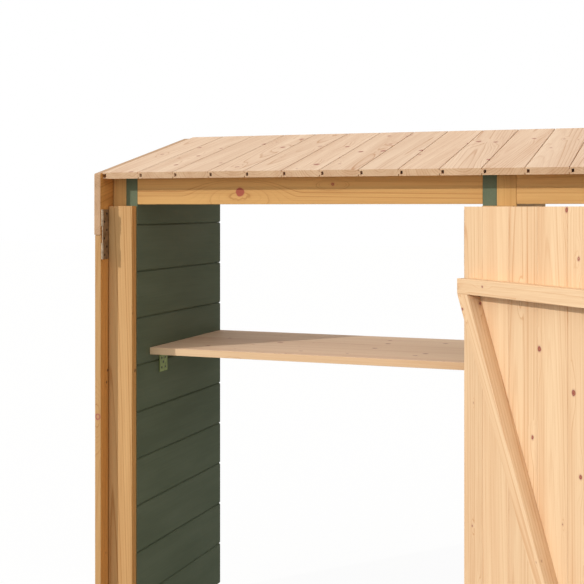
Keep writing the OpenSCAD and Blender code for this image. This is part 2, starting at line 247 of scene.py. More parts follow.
def ring_shade(tree, shift, along, across, depth, pull, contrast):
    """Strength of the late-wood lines and of the fibres, and the darkness of both together."""
    # ring number = distance from the pith over the ring pitch, a little uneven
    round_pith = add(tree, "ShaderNodeCombineXYZ", {0: across, 1: depth}).outputs[0]
    distance = add(tree, "ShaderNodeVectorMath", {0: round_pith}, operation="LENGTH").outputs["Value"]
    rings = add(tree, "ShaderNodeMath", {0: distance, 1: RING_PITCH}, operation="DIVIDE").outputs[0]
    section = add(tree, "ShaderNodeCombineXYZ", {0: along, 1: across, 2: depth}).outputs[0]
    ripple_at = add(tree, "ShaderNodeVectorMath", {0: section, 1: RIPPLES}, operation="MULTIPLY")
    ripple = add(tree, "ShaderNodeTexNoise", {"Vector": ripple_at.outputs[0], "Scale": 1.0, "Detail": 2.0})
    uneven = add(tree, "ShaderNodeMath", {
        0: ripple.outputs["Fac"], 1: 1.2, 2: rings}, operation="MULTIPLY_ADD").outputs[0]
    phase = add(tree, "ShaderNodeMath", {0: pull, 1: uneven}).outputs[0]
    year = add(tree, "ShaderNodeMath", {0: phase}, operation="FRACT").outputs[0]
    # pale wood darkens slowly, then a thin late-wood line ends the year
    late = add(tree, "ShaderNodeValToRGB", {0: year})
    for at, level in ((0.45, 0.04), (0.78, 0.28), (0.87, 1.0), (0.94, 0.9)):
        late.color_ramp.elements.new(at).color = (level, level, level, 1)
    late.color_ramp.elements[-1].color = (0.0, 0.0, 0.0, 1)
    # some years leave a strong line and others hardly any
    number = add(tree, "ShaderNodeMath", {0: phase}, operation="FLOOR").outputs[0]
    which = add(tree, "ShaderNodeCombineXYZ", {0: number, 1: shift}).outputs[0]
    strength = add(tree, "ShaderNodeTexWhiteNoise", {"Vector": which}, noise_dimensions="3D")
    strength = add(tree, "ShaderNodeMapRange", {
        0: strength.outputs["Value"], 1: 0.1, 2: 1.0, 3: 0.1, 4: 1.0}).outputs[0]
    lines = add(tree, "ShaderNodeMath", {
        0: late.outputs[0], 1: strength}, operation="MULTIPLY").outputs[0]
    # long fibres: fine streaks that run with the board
    fibre_at = add(tree, "ShaderNodeVectorMath", {0: section, 1: FIBRES}, operation="MULTIPLY")
    fibre = add(tree, "ShaderNodeTexNoise", {
        "Vector": fibre_at.outputs[0], "Scale": 1.0, "Detail": 3.0}).outputs["Fac"]
    # broad soft bands, as where heartwood meets sapwood
    band_at = add(tree, "ShaderNodeVectorMath", {0: section, 1: BANDS}, operation="MULTIPLY")
    band = add(tree, "ShaderNodeTexNoise", {
        "Vector": band_at.outputs[0], "Scale": 1.0, "Detail": 2.0}).outputs["Fac"]
    shade = add(tree, "ShaderNodeMath", {0: lines, 1: contrast}, operation="MULTIPLY").outputs[0]
    for streaks, low, high, amount in ((fibre, 0.35, 0.75, 0.2), (band, 0.35, 0.7, 0.28)):
        streaks = add(tree, "ShaderNodeMapRange", {0: streaks, 1: low, 2: high, 4: amount}).outputs[0]
        shade = add(tree, "ShaderNodeMath", {0: streaks, 1: shade}, use_clamp=True).outputs[0]
    return lines, fibre, shade


print("rings", round(RING_PITCH / MM, 1), "mm apart")

# %% [markdown]
# ### Colour and surface
# The darkness mixes two colours of wood, and knots and sawn ends are laid over them. A planed
# face is nearly matt, with late wood and fibres just standing out, so they drive a small bump.

# %% The softwood material
KNOT_GRIT = 420.0  # specks per metre inside a knot, one every 2.4 mm


def softwood(name, pale, dark, knot, contrast=0.5, knot_size=8 * MM, knot_spacing=0.09, placed=(),
             sweep=0.14, live_share=0.8, painted_shade_lift=None):
    """Bare planed wood; `placed` lists knots as (along, across, through, radius) in metres."""
    material, tree = new_material(name)
    grain, board, parts, shift, along, across, depth = log_place(tree, sweep)
    edge, pull, chance, spot = knot_field(
        tree, grain, parts, shift, along, knot_size, knot_spacing, placed)
    lines, fibre, shade = ring_shade(tree, shift, along, across, depth, pull, contrast)
    body = add(tree, "ShaderNodeMix", {
        "Factor": shade, "A": linear(pale), "B": linear(dark)}, data_type="RGBA").outputs["Result"]
    # every board has its own tone, and where asked a band across the board is painted paler, which lightens
    # the shade that falls on it
    tone = add(tree, "ShaderNodeMapRange", {0: board, 3: 0.96, 4: 1.01}).outputs[0]
    if painted_shade_lift:
        start, full, gain = painted_shade_lift
        lifted_shade = add(tree, "ShaderNodeMapRange", {0: parts[1], 1: start, 2: full, 3: 1.0, 4: gain})
        tone = add(tree, "ShaderNodeMath", {0: tone, 1: lifted_shade.outputs[0]}, operation="MULTIPLY").outputs[0]
    body = add(tree, "ShaderNodeHueSaturation", {"Value": tone, "Color": body}).outputs[0]
    # a knot is red-brown with its own narrow rings, and the wood darkens round it
    speck = add(tree, "ShaderNodeTexNoise", {"Vector": spot, "Scale": KNOT_GRIT, "Detail": 2.0})
    own = add(tree, "ShaderNodeMath", {0: edge, 1: 2 * MM}, operation="DIVIDE").outputs[0]
    own = add(tree, "ShaderNodeMath", {0: own, 1: speck.outputs["Fac"]}, operation="ADD").outputs[0]
    own = add(tree, "ShaderNodeMath", {0: own, 1: 1.0}, operation="PINGPONG").outputs[0]
    inside = add(tree, "ShaderNodeMix", {
        "Factor": add(tree, "ShaderNodeMapRange", {0: own, 1: 0.2, 2: 0.9, 4: 0.6}).outputs[0],
        "A": linear(knot), "B": linear(dark)}, data_type="RGBA").outputs["Result"]
    # some knots are live, with a pale heart, and some are dead and dark right through
    heart = add(tree, "ShaderNodeMapRange", {0: edge, 1: -0.004, 2: -0.001, 3: 0.65, 4: 0.0}).outputs[0]
    live = add(tree, "ShaderNodeMath", {0: chance, 1: live_share}, operation="LESS_THAN").outputs[0]
    heart = add(tree, "ShaderNodeMath", {0: heart, 1: live}, operation="MULTIPLY").outputs[0]
    inside = add(tree, "ShaderNodeMix", {
        "Factor": heart, "A": inside, "B": linear(pale)}, data_type="RGBA").outputs["Result"]
    halo = add(tree, "ShaderNodeMapRange", {0: edge, 2: 0.003, 3: 0.3, 4: 0.0}).outputs[0]
    colour = add(tree, "ShaderNodeMix", {
        "Factor": halo, "A": body, "B": linear(knot)}, data_type="RGBA").outputs["Result"]
    core = add(tree, "ShaderNodeMapRange", {0: edge, 1: -0.0010, 2: 0.0005, 3: 1.0, 4: 0.0}).outputs[0]
    colour = add(tree, "ShaderNodeMix", {
        "Factor": core, "A": colour, "B": inside}, data_type="RGBA").outputs["Result"]
    # sawn ends drink the light, so they look darker and warmer
    cut_end = add(tree, "ShaderNodeAttribute", attribute_name="end").outputs["Fac"]
    ends = add(tree, "ShaderNodeMix", {
        "Factor": 0.9, "A": body, "B": linear("#ede4d6")}, data_type="RGBA",
        blend_type="MULTIPLY").outputs["Result"]
    colour = add(tree, "ShaderNodeMix", {
        "Factor": cut_end, "A": colour, "B": ends}, data_type="RGBA").outputs["Result"]
    # planing leaves the hard late wood a touch proud
    relief = add(tree, "ShaderNodeMath", {0: fibre, 1: 0.6, 2: lines}, operation="MULTIPLY_ADD").outputs[0]
    bump = add(tree, "ShaderNodeBump", {"Strength": 0.35, "Distance": 0.25 * MM, "Height": relief})
    surface = add(tree, "ShaderNodeBsdfPrincipled", {
        "Base Color": colour, "Roughness": 0.66, "Normal": bump.outputs[0], "Specular IOR Level": 0.25})
    add(tree, "ShaderNodeOutputMaterial", {"Surface": surface.outputs[0]})
    print("material", name, len(tree.nodes), "nodes")
    return material


# %% [markdown]
# ### Kinds of softwood
# The same pattern makes every bare timber, with its own colours, knots and strength of grain.

# %% The kinds of softwood on this store
# Header and post timber has yellowed to honey. Faces inside the bays take a brighter, more orange pine,
# which paints warm bounce light into their shade. Door and roof boards are newly planed and paler.
frame_pine = softwood("planed_pine_frame", "#ddb06f", "#aa7030", "#8f4a4c", 0.6, 5 * MM, 0.16)
# the upper half of a header, where the eaves' shadow falls, is painted paler by this factor: painted light
# in that shade
PAINTED_SHADE_STRIP = (-3 * MM, 3 * MM, 1.19)  # the upper half of a header stands under the eaves
HEADER_FACE = 22.5 * MM  # from the middle of a header to its front face
header_pine = softwood(
    "planed_pine_header", "#d9a968", "#a0622a", "#a85047", 0.55, 3 * MM, 0.2, painted_shade_lift=PAINTED_SHADE_STRIP,
    placed=[(-0.1585, -0.0128, HEADER_FACE, 11 * MM), (0.083, 0.005, HEADER_FACE, 3.8 * MM)])
plain_header_pine = softwood("planed_pine_plain_header", "#daab6b", "#a3662d", "#96433c",
                             0.45, 3 * MM, 0.2, painted_shade_lift=PAINTED_SHADE_STRIP)
batten_pine = softwood("planed_pine_batten", "#d1a670", "#a06930", "#8a4b45", 0.7, 3 * MM, 0.16)
side_pine = softwood("planed_pine_side", "#c29a68", "#95612c", "#9a4a50", 0.6, 3 * MM, 0.16, placed=[
    (0.0584, -0.06, 0.0, 7.3 * MM)], live_share=1.0)
# pine for the faces that look into the bays, brighter and more orange than the frame: painted warm bounce
# light in their shade
bounce_painted_pine = softwood("bounce_painted_pine", "#e8ac62", "#b06e2a", "#5a2f1a", 0.6, 3 * MM, 0.2, placed=[
    (0.172, -0.025, -8.7 * MM, 3.2 * MM), (0.149, 0.0347, 4 * MM, 3.2 * MM)])
door_pine = softwood("planed_spruce_door", "#e3c49d", "#b97d4c", "#843c42", 0.6, 5.5 * MM)
ledge_pine = softwood("planed_spruce_ledge", "#e3c49d", "#b97d4c", "#843c42", 0.3, 4.5 * MM)
roof_pine = softwood("planed_spruce_roof", "#e7cbae", "#b48058", "#9c5f56", 0.6, 7 * MM, 0.08,
                     sweep=0.4)
# near-white pine for the shelf: painted sunlight on its top, brighter than the low lamp makes it
shelf_pine = softwood("planed_spruce_shelf", "#fde0bf", "#d29a74", "#a8685a", 0.6, 6 * MM)
barge_pine = softwood("planed_spruce_barge", "#c19c79", "#957251", "#8f5a4e", 0.5, 5 * MM)

# %% [markdown]
# ## Green paint
# The wall boards are brushed with a matt green-grey paint. Paint hides the colour of the wood but not its
# relief, so the brush marks show as a fine bump along the board, and the film is a little uneven in tone.

# %% Painted board material
STROKE_SHARE = 0.25  # how much of the unevenness is brush strokes, and not broad clouds
# repeats per metre along, across and through a board
STROKES = (6.0, 240.0, 240.0)  # a bristle's mark is 170 mm long and 4 mm wide
CLOUDS = (3.0, 14.0, 14.0)  # the film changes over 330 mm along and 70 mm across


def painted(name, film, thin):
    material, tree = new_material(name)
    grain = add(tree, "ShaderNodeAttribute", attribute_name="grain")
    board = add(tree, "ShaderNodeAttribute", attribute_name="board").outputs["Fac"]
    # each board shows its own stretch of the pattern, as many metres on as the factor says
    shift = add(tree, "ShaderNodeMath", {0: board, 1: 43.0}, operation="MULTIPLY").outputs[0]
    moved = add(tree, "ShaderNodeVectorMath", {0: grain.outputs["Vector"], 1: shift})
    brushed = add(tree, "ShaderNodeVectorMath", {0: moved.outputs[0], 1: STROKES}, operation="MULTIPLY")
    strokes = add(tree, "ShaderNodeTexNoise", {
        "Vector": brushed.outputs[0], "Scale": 1.0, "Detail": 4.0}).outputs["Fac"]
    cloudy = add(tree, "ShaderNodeVectorMath", {0: moved.outputs[0], 1: CLOUDS}, operation="MULTIPLY")
    cloud = add(tree, "ShaderNodeTexNoise", {
        "Vector": cloudy.outputs[0], "Scale": 1.0, "Detail": 3.0}).outputs["Fac"]
    mixed = add(tree, "ShaderNodeMath", {0: cloud, 1: 1 - STROKE_SHARE}, operation="MULTIPLY").outputs[0]
    mixed = add(tree, "ShaderNodeMath", {
        0: strokes, 1: STROKE_SHARE, 2: mixed}, operation="MULTIPLY_ADD").outputs[0]
    level = add(tree, "ShaderNodeMapRange", {0: mixed, 1: 0.38, 2: 0.66}).outputs[0]
    colour = add(tree, "ShaderNodeMix", {
        "Factor": level, "A": linear(film), "B": linear(thin)}, data_type="RGBA")
    tone = add(tree, "ShaderNodeMapRange", {0: board, 3: 0.95, 4: 1.05}).outputs[0]
    # the board faces are painted about a tenth darker than the sawn ends: painted shade, for the faces that
    # stand in the shade inside the bays
    cut_end = add(tree, "ShaderNodeAttribute", attribute_name="end").outputs["Fac"]
    painted_face_shade = add(tree, "ShaderNodeMapRange", {0: cut_end, 3: 0.92, 4: 1.02}).outputs[0]
    tone = add(tree, "ShaderNodeMath", {0: tone, 1: painted_face_shade}, operation="MULTIPLY").outputs[0]
    toned = add(tree, "ShaderNodeHueSaturation", {"Value": tone, "Color": colour.outputs["Result"]})
    bump = add(tree, "ShaderNodeBump", {"Strength": 0.22, "Distance": 0.3 * MM, "Height": strokes})
    surface = add(tree, "ShaderNodeBsdfPrincipled", {
        "Base Color": toned.outputs[0], "Roughness": 0.72, "Normal": bump.outputs[0],
        "Specular IOR Level": 0.2})
    add(tree, "ShaderNodeOutputMaterial", {"Surface": surface.outputs[0]})
    print("material", name)
    return material


green_paint = painted("brushed_green_paint", "#5f6a52", "#6c765f")

# %% [markdown]
# ## Plated steel
# The hinges are bright zinc on pressed steel, and the shelf brackets have the yellow-green chromate that
# cheap connectors are dipped in. Both films are thin and blotchy, so broad blotches move the colour and a
# fine speckle moves the gloss and a faint bump.

# %% Plated steel materials
SPECKLE, BLOTCH = 900.0, 90.0  # per metre: grains of 1.1 mm and blotches of 11 mm


def plated(name, film, stain, roughness):
    material, tree = new_material(name)
    place = add(tree, "ShaderNodeTexCoord").outputs["Object"]
    fine, broad = (add(tree, "ShaderNodeTexNoise", {
        "Vector": place, "Scale": scale, "Detail": 3.0}).outputs["Fac"] for scale in (SPECKLE, BLOTCH))
    level = add(tree, "ShaderNodeMapRange", {0: broad, 1: 0.35, 2: 0.7}).outputs[0]
    colour = add(tree, "ShaderNodeMix", {
        "Factor": level, "A": linear(film), "B": linear(stain)}, data_type="RGBA")
    gloss = add(tree, "ShaderNodeMapRange", {
        0: fine, 1: 0.3, 2: 0.7, 3: roughness - 0.07, 4: roughness + 0.08}).outputs[0]
    bump = add(tree, "ShaderNodeBump", {"Strength": 0.08, "Distance": 0.1 * MM, "Height": fine})
    surface = add(tree, "ShaderNodeBsdfPrincipled", {
        "Base Color": colour.outputs["Result"], "Metallic": 0.85, "Roughness": gloss,
        "Normal": bump.outputs[0]})
    add(tree, "ShaderNodeOutputMaterial", {"Surface": surface.outputs[0]})
    print("material", name)
    return material


# the brown in these zinc colours is partly painted reflection of the pine round the hinges, over the zinc's
# own dull grey
zinc = plated("dull_zinc_on_steel", "#b39d83", "#8b7862", 0.5)
chromate = plated("olive_chromate_on_steel", "#80884a", "#636b37", 0.5)
blackened = plated("blackened_screw_steel", "#2b2724", "#191716", 0.45)

# %% [markdown]
# ## Timbers with rounded edges and grain coordinates
# A planer leaves each timber with its long edges just broken, so no edge is knife-sharp. A copy
# of each construction piece is merged into clean faces and bevelled by a millimetre or so. The
# same step writes the grain coordinates: metres along the timber, across it and through it.

# %% Timber helpers
random_state = np.random.default_rng(7)
EASED_EDGE = 1.3 * MM


def write_grain(mesh, along, across, seed=None):
    """Stores each point's place in the board and, given a seed, the board's own number."""
    points = np.array([v.co for v in mesh.vertices])
    axes = np.array([along, across, along.cross(across)])
    local = points @ axes.T
    local -= (local.min(axis=0) + local.max(axis=0)) / 2
    place = mesh.attributes.new("grain", "FLOAT_VECTOR", "POINT")
    place.data.foreach_set("vector", local.astype(np.float32).ravel())
    ends = mesh.attributes.new("end", "FLOAT", "FACE")
    ends.data.foreach_set("value", [float(abs(f.normal.dot(along)) > 0.8) for f in mesh.polygons])
    if seed is None:
        return
    own = mesh.attributes.new("board", "FLOAT", "POINT")
    own.data.foreach_set("value", np.full(len(points), seed, np.float32))


def show(name, mesh, material, body, slot, *stands_for):
    mesh.name = name
    mesh.materials.clear()
    mesh.materials.append(material)
    piece = bpy.data.objects.new(name, mesh)
    bpy.context.scene.collection.objects.link(piece)
    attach(piece, body)
    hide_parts(*stands_for)
    return piece


def timber(node, along, across, material, slot, body="store", rounding=EASED_EDGE):
    work = bmesh.new()
    work.from_mesh(nodes[node].data)
    bmesh.ops.remove_doubles(work, verts=work.verts, dist=0.01 * MM)
    bmesh.ops.dissolve_limit(
        work, angle_limit=math.radians(2), verts=work.verts, edges=work.edges)
    sharp = [e for e in work.edges if e.is_manifold and e.calc_face_angle() > math.radians(20)]
    bmesh.ops.bevel(work, geom=sharp, offset=rounding, segments=2, profile=0.6, affect="EDGES",
                    clamp_overlap=True)
    mesh = bpy.data.meshes.new(node)
    work.to_mesh(mesh)
    work.free()
    write_grain(mesh, along, across, random_state.random())
    return show(node + "_planed", mesh, material, body, slot, node)


def inner_faces(piece, material):
    """Gives the faces that look towards the middle of the store a second material, brighter and more
    orange: painted bounce light in their shade.
    """
    piece.data.materials.append(material)
    for face in piece.data.polygons:
        face.material_index = int(abs(face.normal.x) > 0.9 and face.normal.x * face.center.x < 0)


print("edges eased by", round(EASED_EDGE / MM, 1), "mm, or more where a timber's own step says so")

# %% [markdown]
# ## The frame's timbers
# Posts, battens and side boards stand, headers lie along the front, and rails run front to back.
# Each is planed all round, and which wood it takes depends on its place: battens and side boards are paler,
# and the faces that look into the bays take a brighter, more orange pine as painted bounce light. Where a
# side board covers a post and a batten, a 2 mm joint is left between them, because such a joint shows as a
# dark line.

# %% Posts, headers, rails and front boards
JOINT_GAP = 2 * MM

for node in nodes:
    if node.endswith("_post"):
        timber(node, Z, X, frame_pine, "frame_pine", rounding=2 * MM)
    elif node.endswith(("_batten", "door_jamb")):
        piece = timber(node, Z, X, batten_pine, "frame_pine", rounding=2.5 * MM)
        inner_faces(piece, bounce_painted_pine)
    elif node.endswith("_side_board"):
        inner_faces(timber(node, Z, Y, side_pine, "frame_pine", rounding=2.5 * MM), bounce_painted_pine)
    elif node.endswith("_header"):
        wood = {"left_header": header_pine, "right_header": plain_header_pine}.get(node, frame_pine)
        timber(node, X, Z, wood, "frame_pine")
    elif node.endswith("_rail"):
        timber(node, Y, Z, frame_pine, "frame_pine")

# the joint is opened by holding the outer edges of posts and battens back from the side boards
EDGE_BAND = 5 * MM
for node in ("left_batten", "right_batten", "left_front_post", "right_front_post"):
    corners = bpy.data.objects[node + "_planed"].data.vertices
    outer = max(abs(v.co.x) for v in corners)
    for v in corners:
        if abs(v.co.x) > outer - EDGE_BAND:
            v.co.x *= 1 - JOINT_GAP / outer

# %% [markdown]
# ## Barge boards
# The barge boards close the roof's ends and run up the slope with it. Their inner faces take the brighter,
# more orange pine that paints bounce light into their shade, and the outer faces are weathered paler. Their
# ends are cut plumb and weathered with the faces, so the darker end grain is switched off.

# %% Barge boards
roof_angle = math.radians(12.8)
up_slope = Vector((0, math.cos(roof_angle), math.sin(roof_angle)))
off_slope = Vector((0, -math.sin(roof_angle), math.cos(roof_angle)))
for node in ("left_barge_board", "right_barge_board"):
    piece = timber(node, up_slope, off_slope, barge_pine, "roof_pine", rounding=2.5 * MM)
    piece.data.attributes["end"].data.foreach_set("value", np.zeros(len(piece.data.polygons)))
    inner_faces(piece, bounce_painted_pine)
print("barge boards with", len(piece.data.polygons), "faces each")

# %% [markdown]
# ## Rows of tongued and grooved boards
# Walls, roof and door are rows of one board, so Geometry Nodes lay them: one board made from its
# cross-section, a line of points one cover width apart, and an instance on each point with its
# own random number. Realize Instances turns the row into plain mesh, and Set Material dresses it.
# The last boards are then sawn to the outline with a plane cut, as a joiner would trim them.

# %% One board from its cross-section
TONGUE = 4.5 * MM


def board_mesh(length, width, thickness, chamfer, gap=0.6 * MM, depth=8 * MM):
    """A board along X, with a groove on its low Y side and a tongue on its high Y side."""
    thick = thickness * 0.5
    half_groove = thick * 0.53  # the groove is a touch wider than the tongue
    low, high, middle = gap / 2, width - gap / 2, thickness / 2
    outline = [
        (low + chamfer, 0), (high - chamfer, 0), (high, chamfer),
        (high, middle - thick / 2), (width + TONGUE, middle - thick / 2),
        (width + TONGUE, middle + thick / 2), (high, middle + thick / 2),
        (high, thickness - chamfer), (high - chamfer, thickness), (low + chamfer, thickness),
        (low, thickness - chamfer), (low, middle + half_groove), (depth, middle + half_groove),
        (depth, middle - half_groove), (low, middle - half_groove), (low, chamfer)]
    work = bmesh.new()
    rings = [[work.verts.new((x, y, z)) for y, z in outline] for x in (0, length)]
    for i in range(len(outline)):
        j = (i + 1) % len(outline)
        work.faces.new((rings[0][j], rings[0][i], rings[1][i], rings[1][j]))
    work.faces.new(rings[0])
    work.faces.new(rings[1][::-1])
    bmesh.ops.recalc_face_normals(work, faces=work.faces)
    mesh = bpy.data.meshes.new("board")
    work.to_mesh(mesh)
    work.free()
    write_grain(mesh, X, Y)
    return mesh


print("tongues stand out by", round(TONGUE / MM, 1), "mm")

# %% [markdown]
# ### The row as a tree
# The row could be an Array modifier, but then every board would be the same. A tree with named
# inputs lets each row set its count, width and seed, and numbers each board for its own grain.

# %% The row as a Geometry Nodes tree


def socket(tree, name, kind, default=None, side="INPUT"):
    made = tree.interface.new_socket(name, in_out=side, socket_type=kind)
    if default is not None:
        made.default_value = default
    return made


row_tree = bpy.data.node_groups.new("board_row", "GeometryNodeTree")
socket(row_tree, "Board", "NodeSocketGeometry")
socket(row_tree, "Count", "NodeSocketInt", 10)
socket(row_tree, "Cover width", "NodeSocketFloat", 0.1)
socket(row_tree, "Seed", "NodeSocketInt", 1)
socket(row_tree, "Material", "NodeSocketMaterial")
socket(row_tree, "Row", "NodeSocketGeometry", side="OUTPUT")
given = add(row_tree, "NodeGroupInput")
step = add(row_tree, "ShaderNodeCombineXYZ", {"Y": given.outputs["Cover width"]})
line = add(row_tree, "GeometryNodeMeshLine", {
    "Count": given.outputs["Count"], "Offset": step.outputs[0]})
laid = add(row_tree, "GeometryNodeInstanceOnPoints", {
    "Points": line.outputs[0], "Instance": given.outputs["Board"]})
chosen = add(row_tree, "FunctionNodeRandomValue", {"Seed": given.outputs["Seed"]}, data_type="FLOAT")
numbered = add(row_tree, "GeometryNodeStoreNamedAttribute", {
    "Geometry": laid.outputs[0], "Name": "board", "Value": chosen.outputs[1]},
    data_type="FLOAT", domain="INSTANCE")
realized = add(row_tree, "GeometryNodeRealizeInstances", {0: numbered.outputs[0]})
dressed = add(row_tree, "GeometryNodeSetMaterial", {
    "Geometry": realized.outputs[0], "Material": given.outputs["Material"]})
add(row_tree, "NodeGroupOutput", {0: dressed.outputs[0]})
print("tree", row_tree.name, len(row_tree.nodes), "nodes")

# %% [markdown]
# ### Laying and sawing
# A joiner lays a row a little too long and trims it in place. The same is done here: the row is
# laid flat, moved to its place and cut by planes, which is more exact than trimming each board.

# %% Lay a row, place it and saw it to its outline


def run_tree(mesh, tree, settings):
    """Runs a Geometry Nodes tree on a mesh and returns the result as a plain mesh."""
    source = bpy.data.objects.new("source", mesh)
    bpy.context.scene.collection.objects.link(source)
    modifier = source.modifiers.new("nodes", "NODES")
    modifier.node_group = tree
    for item in tree.interface.items_tree:
        if item.in_out == "INPUT" and item.name in settings:
            modifier[item.identifier] = settings[item.name]
    evaluated = source.evaluated_get(bpy.context.evaluated_depsgraph_get())
    result = bpy.data.meshes.new_from_object(evaluated)
    source.modifiers.clear()
    bpy.data.objects.remove(source)
    return result


def saw(mesh, cuts):
    """Cuts the mesh off beyond each (point, outward direction) plane and closes the cut."""
    work = bmesh.new()
    work.from_mesh(mesh)
    for point, outward in cuts:
        cut = bmesh.ops.bisect_plane(
            work, geom=work.verts[:] + work.edges[:] + work.faces[:], dist=0.001 * MM,
            plane_co=point, plane_no=outward, clear_outer=True)
        edges = [e for e in cut["geom_cut"] if isinstance(e, bmesh.types.BMEdge)]
        bmesh.ops.holes_fill(work, edges=edges, sides=0)
    work.to_mesh(mesh)
    work.free()


def board_row(name, board, count, cover, seed, material, place, cuts, first_extra=0.0):
    settings = {"Count": count, "Cover width": cover, "Seed": seed, "Material": material}
    mesh = run_tree(board, row_tree, settings)
    for vert in mesh.vertices:
        if vert.co.y < cover / 2:
            vert.co.y -= first_extra
    mesh.transform(place)
    saw(mesh, cuts)
    print(name, count, "boards", len(mesh.polygons), "faces")
    return mesh


def placing(origin, along, across):
    """Matrix that lays local X along the boards and local Y across them."""
    through = along.cross(across)
    matrix = Matrix((along, across, through)).transposed().to_4x4()
    matrix.translation = origin
    return matrix


# %% [markdown]
# ## Walls
# Each wall is a stack of thick painted boards with a V-joint where the chamfered edges meet.
# The top ones are sawn to the slope of the roof.

# %% Wall boards
WALL_COVER = 120 * MM
V_JOINT = 3.2 * MM
DECK_SEAT = 0.3 * MM  # the wall boards end just under the deck
deck_low, deck_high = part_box("roof_deck")
deck_thickness = 16 * MM
under_deck = Vector((0, deck_low.y + deck_thickness * math.sin(roof_angle), deck_low.z))
for index, node in enumerate(("left_wall", "partition_wall", "right_wall")):
    low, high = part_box(node)
    board = board_mesh(high.y - low.y, WALL_COVER, high.x - low.x, V_JOINT)
    count = math.ceil((high.z - low.z) / WALL_COVER)
    roof_cut = (under_deck - off_slope * DECK_SEAT, off_slope)
    row = board_row(node, board, count, WALL_COVER, 20 + index, green_paint,
                    placing(low, Y, Z), [roof_cut])
    show(node + "_boards", row, green_paint, "store", "green_painted_pine", node)

# %% [markdown]
# ## Roof
# The roof boards run up the slope. The first board's groove is left open at the barge board, and
# the last board is ripped to fit. The underside was oiled with the frame and took its honey tone.

# %% Roof boards
ROOF_COVER = 96 * MM
FIRST_ROOF_BOARD = 101 * MM
BARGE_CLEARANCE = 1 * MM
SOFT_EDGE = 0.8 * MM  # roof and door boards have just their edges eased
deck_run = (deck_high.y - deck_low.y - deck_thickness * math.sin(roof_angle)) / math.cos(roof_angle)
extra = FIRST_ROOF_BOARD - ROOF_COVER
front_top = Vector((deck_low.x + extra, deck_low.y, deck_low.z + deck_thickness * math.cos(roof_angle)))
board = board_mesh(deck_run, ROOF_COVER, deck_thickness, SOFT_EDGE, gap=1.8 * MM, depth=10.5 * MM)
count = math.ceil((deck_high.x - deck_low.x - extra) / ROOF_COVER)
row = board_row("roof", board, count, ROOF_COVER, 31, roof_pine, placing(front_top, up_slope, X),
                [(Vector((deck_high.x - BARGE_CLEARANCE, 0, 0)), X)], extra)
piece = show("roof_boards", row, roof_pine, "store", "roof_pine", "roof_deck")
piece.data.materials.append(frame_pine)
for face in piece.data.polygons:
    face.material_index = int(face.normal.dot(off_slope) < -0.9)
print("underside faces", sum(f.material_index for f in piece.data.polygons))

# %% [markdown]
# ## Shelf
# The shelf is one panel glued from wide strips, so its grain runs along the front. Its top and other faces
# take a near-white pine, which paints more sun on the top than the low lamp gives it, and its front edge
# takes the darker door pine.

# %% Shelf
piece = timber("shelf", X, Y, shelf_pine, "shelf_pine", rounding=1 * MM)
piece.data.materials.append(door_pine)
for face in piece.data.polygons:
    face.material_index = int(face.normal.y < -0.9)
print("shelf", len(piece.data.polygons), "faces")

# %% [markdown]
# ## Door
# The leaf is a row of upright boards, nailed to two ledges with a brace between them. It stands
# open, turned about its hinge pins, so its directions are worked out from that angle once.

# %% Door boards
DOOR_OPEN = 137  # degrees from closed, as the frame holds it
door_angle = math.radians(180 - DOOR_OPEN)
over_door = Vector((math.cos(door_angle), -math.sin(door_angle), 0))
into_door = Z.cross(over_door)
corners = [v.co for v in nodes["door_panel"].data.vertices]
door_start = min(c.dot(over_door) for c in corners)
door_end = max(c.dot(over_door) for c in corners)
door_face = min(c.dot(into_door) for c in corners)
door_back = max(c.dot(into_door) for c in corners)
DOOR_COVER = 94 * MM
EDGE_BOARD = 68 * MM
origin = over_door * door_start + into_door * door_face + Z * door_low.z
first = origin - over_door * (DOOR_COVER - EDGE_BOARD)
board = board_mesh(door_high.z - door_low.z, DOOR_COVER, door_back - door_face, SOFT_EDGE, gap=0.5 * MM)
count = 1 + math.ceil((door_end - door_start - EDGE_BOARD) / DOOR_COVER - 0.01)
row = board_row("door", board, count, DOOR_COVER, 5, door_pine, placing(first, Z, over_door), [
    (origin, -over_door), (origin + over_door * (door_end - door_start), over_door)])
show("door_boards", row, door_pine, "door", "door_pine", "door_panel")

# %% [markdown]
# ### Ledges and brace
# Two ledges and a brace are nailed across the boards. The grain of the brace has to run with it,
# so its direction is worked out from its box: as wide as the box, less the brace's own width.

# %% Ledges and brace
BRACE_OWN_WIDTH = 34 * MM
brace_low, brace_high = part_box("brace")
box_width = Vector((brace_high.x - brace_low.x, brace_high.y - brace_low.y, 0)).length
brace_fall = Z * (brace_high.z - brace_low.z)
brace_line = (over_door * (box_width - BRACE_OWN_WIDTH) - brace_fall).normalized()
for node in ("top_ledge", "bottom_ledge"):
    timber(node, over_door, Z, ledge_pine, "door_pine", "door")
timber("brace", brace_line, brace_line.cross(into_door), door_pine, "door_pine", "door")
print("brace runs", [round(v, 3) for v in brace_line])

# %% [markdown]
# ## Ironwork
# The hinges and brackets keep the shapes they were built with, and take the plated steel: pressed
# leaves and rolled knuckles in zinc, and folded brackets in chromate.

# %% Hinges and brackets
ironwork = {node: zinc if "hinge" in node else chromate
            for node in nodes if "hinge" in node or "brackets" in node}
for node, steel in ironwork.items():
    nodes[node].data.materials.clear()
    nodes[node].data.materials.append(steel)
print("ironwork", len(ironwork), "nodes")

# %% [markdown]
# ## Screws
# Countersunk screws hold the hinges and the brackets. A screw head is one small turned piece
# with a dished recess, so Geometry Nodes put a copy on each point of a list, and each point says
# which way its head faces. The heads are blackened steel and stand a hair proud.

# %% One screw head
# seat, rim and recess, as shares of the head's radius and of its height
HEAD_RINGS = ((1.0, 0.0), (0.8, 1.0), (0.341, 0.4))
HEAD_HEIGHT = 0.4 * MM
HEAD_SIDES = 16


